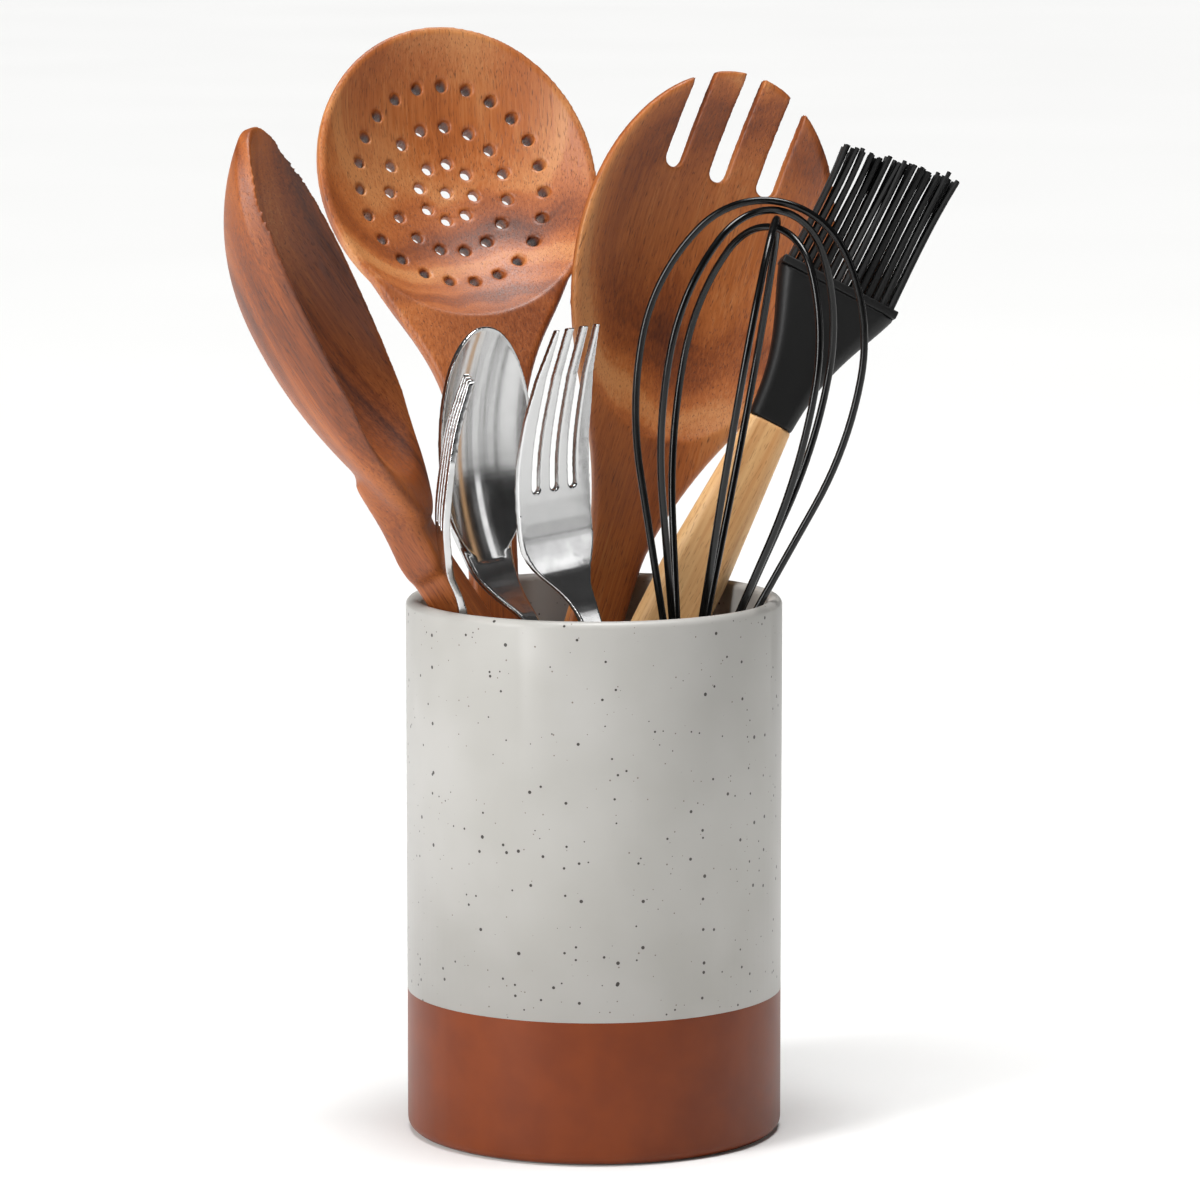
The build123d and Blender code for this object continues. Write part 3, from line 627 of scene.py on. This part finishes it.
def makeStrand(x, y, length, curlX, curlY):
    # one strand from its foot at x, y, as a curve that is then made a mesh
    look = strandLook
    foot = Vector((x, y, look["slice"] * mm * look["rootHeight"]))
    drawnX, drawnY = x * look["drawIn"], y * look["drawIn"]
    bpy.ops.curve.primitive_bezier_curve_add(radius=1.0, location=(0.0, 0.0, 0.0))
    strand = bpy.context.active_object
    curve = strand.data
    curve.dimensions = "3D"
    curve.resolution_u = look["curveSteps"]
    curve.bevel_depth = look["width"] * mm / 2
    curve.bevel_resolution = look["roundness"]
    curve.use_fill_caps = True
    start, end = curve.splines[0].bezier_points
    for point in (start, end):
        point.handle_left_type = point.handle_right_type = "FREE"
    start.co = foot
    start.handle_right = (
        x + (drawnX - x) * look["straightShare"],
        y + (drawnY - y) * look["straightShare"],
        foot.z + length * look["straightShare"],
    )
    end.handle_left = (
        drawnX + curlX * look["tipCurl"],
        drawnY + curlY * look["tipCurl"],
        foot.z + length * look["tipHeight"],
    )
    end.co = (drawnX + curlX, drawnY + curlY, foot.z + length)
    end.radius = look["tipWidth"] / look["width"]
    selectOnly(strand)
    bpy.ops.object.convert(target="MESH")
    return bpy.context.active_object


def makeStrands(material):
    look = strandLook
    middle, directions, (width, depth) = brushFrame()
    chance = random.Random(look["seed"])
    margin = look["margin"] * look["width"] * mm
    parts = [makeSlice(width, depth)]
    for column in range(look["columns"]):
        for row in range(look["rows"]):
            right = column / (look["columns"] - 1) - 0.5
            behind = row / (look["rows"] - 1) - 0.5
            length = (look["length"] + look["rake"] * right) * mm
            length *= 1.0 - look["lengthScatter"] * chance.random()
            curls = [
                look["curl"] * mm * (fan * outwards + chance.uniform(-scatter, scatter))
                for fan, outwards, scatter in zip(look["curlFan"], (right, behind), look["curlScatter"])
            ]
            parts.append(makeStrand(right * (width - margin), behind * (depth - margin), length, *curls))
    bpy.ops.object.select_all(action="DESELECT")
    for part in parts:
        part.select_set(True)
    bpy.context.view_layer.objects.active = parts[0]
    bpy.ops.object.join()
    strands = bpy.context.active_object
    strands.name = "brushStrands"
    strands.data.name = "brushStrands"
    turn = Matrix(directions).transposed().to_4x4()
    strands.data.transform(Matrix.Translation(middle) @ turn)
    selectOnly(strands)
    bpy.ops.object.shade_smooth_by_angle(angle=math.radians(look["smoothAngle"]))
    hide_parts("brush_bristles")
    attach(strands, "brush")
    giveMaterial(strands, material, "silicone")


# Studio: a pale floor, a wide overhead light for it and soft boxes for the object, in metres and watts
studio = {
    "floorSize": 60.0,
    "floorCuts": 4,
    "floorColour": "#f2f2f1",
    "floorRoughness": (0.46, 0.54),
    "floorCloud": 0.5,
    "floorShine": 0.15,
    "overheadPlace": (0.0, 0.0, 3.0),
    "overheadStrength": 3.7,
    "overheadAngle": 30.0,
    "boxes": {
        "keyBox": {"place": (-1.5, -1.3, 1.0), "aim": (0.0, 0.0, 0.2), "size": (0.7, 1.5), "power": 43.0},
        "rimBox": {"place": (1.9, -0.2, 0.9), "aim": (0.0, 0.0, 0.2), "size": (0.3, 1.3), "power": 2.5},
    },
    "sky": [(0.0, "#3c3c3c"), (0.6, "#808080")],  # from the horizon up
    "skyStrength": 0.3,
}


def makeFloor():
    # matte white acrylic: even and bright, with next to no reflection
    bpy.ops.mesh.primitive_plane_add(size=studio["floorSize"], location=(0.0, 0.0, cadBox[0][2]))
    floor = bpy.context.active_object
    floor.name = "studioFloor"
    bpy.ops.object.mode_set(mode="EDIT")
    bpy.ops.mesh.subdivide(number_cuts=studio["floorCuts"])
    bpy.ops.object.mode_set(mode="OBJECT")
    low, high = studio["floorRoughness"]
    material, shader = startMaterial(
        "whiteAcrylicFloor", (low + high) / 2, **{"Specular IOR Level": studio["floorShine"]})
    coordinates = addNode(material, "ShaderNodeTexCoord")
    cloud = addNode(material, "ShaderNodeTexNoise", {
        "Vector": coordinates.outputs["Object"], "Scale": 1 / studio["floorCloud"], "Detail": 1.0,
    })
    sheen = addNode(material, "ShaderNodeMapRange", {
        "Value": cloud.outputs["Fac"], "To Min": low, "To Max": high,
    })
    joinSocket(material, shader, "Roughness", sheen.outputs["Result"])
    shader.inputs["Base Color"].default_value = linear(studio["floorColour"])
    floor.data.materials.append(material)


def makeLights():
    bpy.ops.object.light_add(type="SUN", location=studio["overheadPlace"])
    overhead = bpy.context.active_object
    overhead.name = "overheadLight"
    overhead.data.energy = studio["overheadStrength"]
    overhead.data.angle = math.radians(studio["overheadAngle"])
    for name, look in studio["boxes"].items():
        bpy.ops.object.light_add(type="AREA", location=look["place"])
        box = bpy.context.active_object
        box.name = name
        box.data.shape = "RECTANGLE"
        box.data.size, box.data.size_y = look["size"]
        box.data.energy = look["power"]
        box.rotation_euler = (Vector(look["aim"]) - Vector(look["place"])).to_track_quat("-Z", "Y").to_euler()


def makeSky():
    # a dark grey room that grows lighter upwards, which polished steel mirrors
    world = bpy.data.worlds.new("studioSky")
    bpy.context.scene.world = world
    world.use_nodes = True
    sky = world.node_tree.nodes["Background"]
    sky.inputs["Strength"].default_value = studio["skyStrength"]
    coordinates = addNode(world, "ShaderNodeTexCoord")
    parts = addNode(world, "ShaderNodeSeparateXYZ", {"Vector": coordinates.outputs["Generated"]})
    ramp = addNode(world, "ShaderNodeValToRGB", {"Fac": parts.outputs["Z"]}, stops=studio["sky"])
    joinSocket(world, sky, "Color", ramp.outputs["Color"])


# Camera: where the photograph was taken from, fitted on the crock's rim, sides and foot
cameraView = {
    "place": (0.002, -1.9747, 0.4554),
    "pitchDown": 7.92,
    "lens": 177.3,
    "sensorWidth": 36.0,
}


def makeCamera():
    bpy.ops.object.camera_add(location=cameraView["place"])
    camera = bpy.context.active_object
    camera.name = "photoCamera"
    camera.rotation_euler = (math.radians(90 - cameraView["pitchDown"]), 0.0, 0.0)
    camera.data.lens = cameraView["lens"]
    camera.data.sensor_width = cameraView["sensorWidth"]
    camera.data.dof.use_dof = False
    bpy.context.scene.camera = camera
    # a plain display curve, so that the white floor clips as it does in the photograph
    bpy.context.scene.view_settings.view_transform = "Standard"


makeCamera()
makeFloor()
makeLights()
makeSky()
print("stage: studio and camera set")

acacia = {board: makeAcacia(board) for board in acaciaLook["boards"]}
beech = {body: makeBeech(body) for body in ("whisk", "brush")}
steel = makeSteel()
wireCoating = makeBlack("nylonCoatedWire", coatingLook)
silicone = makeBlack("mouldedSilicone", siliconeLook)
pieceMaterials = {
    "skimmerCarving": (acacia["skimmer"], "acacia"),
    "saladForkCarving": (acacia["salad_fork"], "acacia"),
    "woodSpoonCarving": (acacia["wood_spoon"], "acacia"),
    "brushHandleTurning": (beech["brush"], "beech"),
    "brushHeadMoulding": (silicone, "silicone"),
    "crockThrowing": (makeSpeckledGlaze(), "speckled_glaze"),
    "crockDip": (makeDipGlaze(), "terracotta_glaze"),
    "steelSpoonPressing": (steel, "stainless"),
    "frontForkPressing": (steel, "stainless"),
    "sideForkPressing": (steel, "stainless"),
    "whiskHandleTurning": (beech["whisk"], "beech"),
    "whiskCollarTube": (steel, "stainless"),
    "whiskPlugFill": (silicone, "silicone"),
    "whiskWireOne": (wireCoating, "wire_coating"),
    "whiskWireTwo": (wireCoating, "wire_coating"),
    "whiskWireThree": (wireCoating, "wire_coating"),
    "whiskWireFour": (wireCoating, "wire_coating"),
}
print("stage: materials made")

for name, work in workedPieces.items():
    giveMaterial(workPiece(name, work), *pieceMaterials[name])
for name, work in finishedPieces.items():
    giveMaterial(finishPiece(name, work), *pieceMaterials[name])
print("stage: pieces worked and finished")

makeStrands(silicone)
tang = frame["nodes"]["brush_tang"]
tang.data.materials.clear()
tang.data.materials.append(steel)
print("stage: brush strands made")
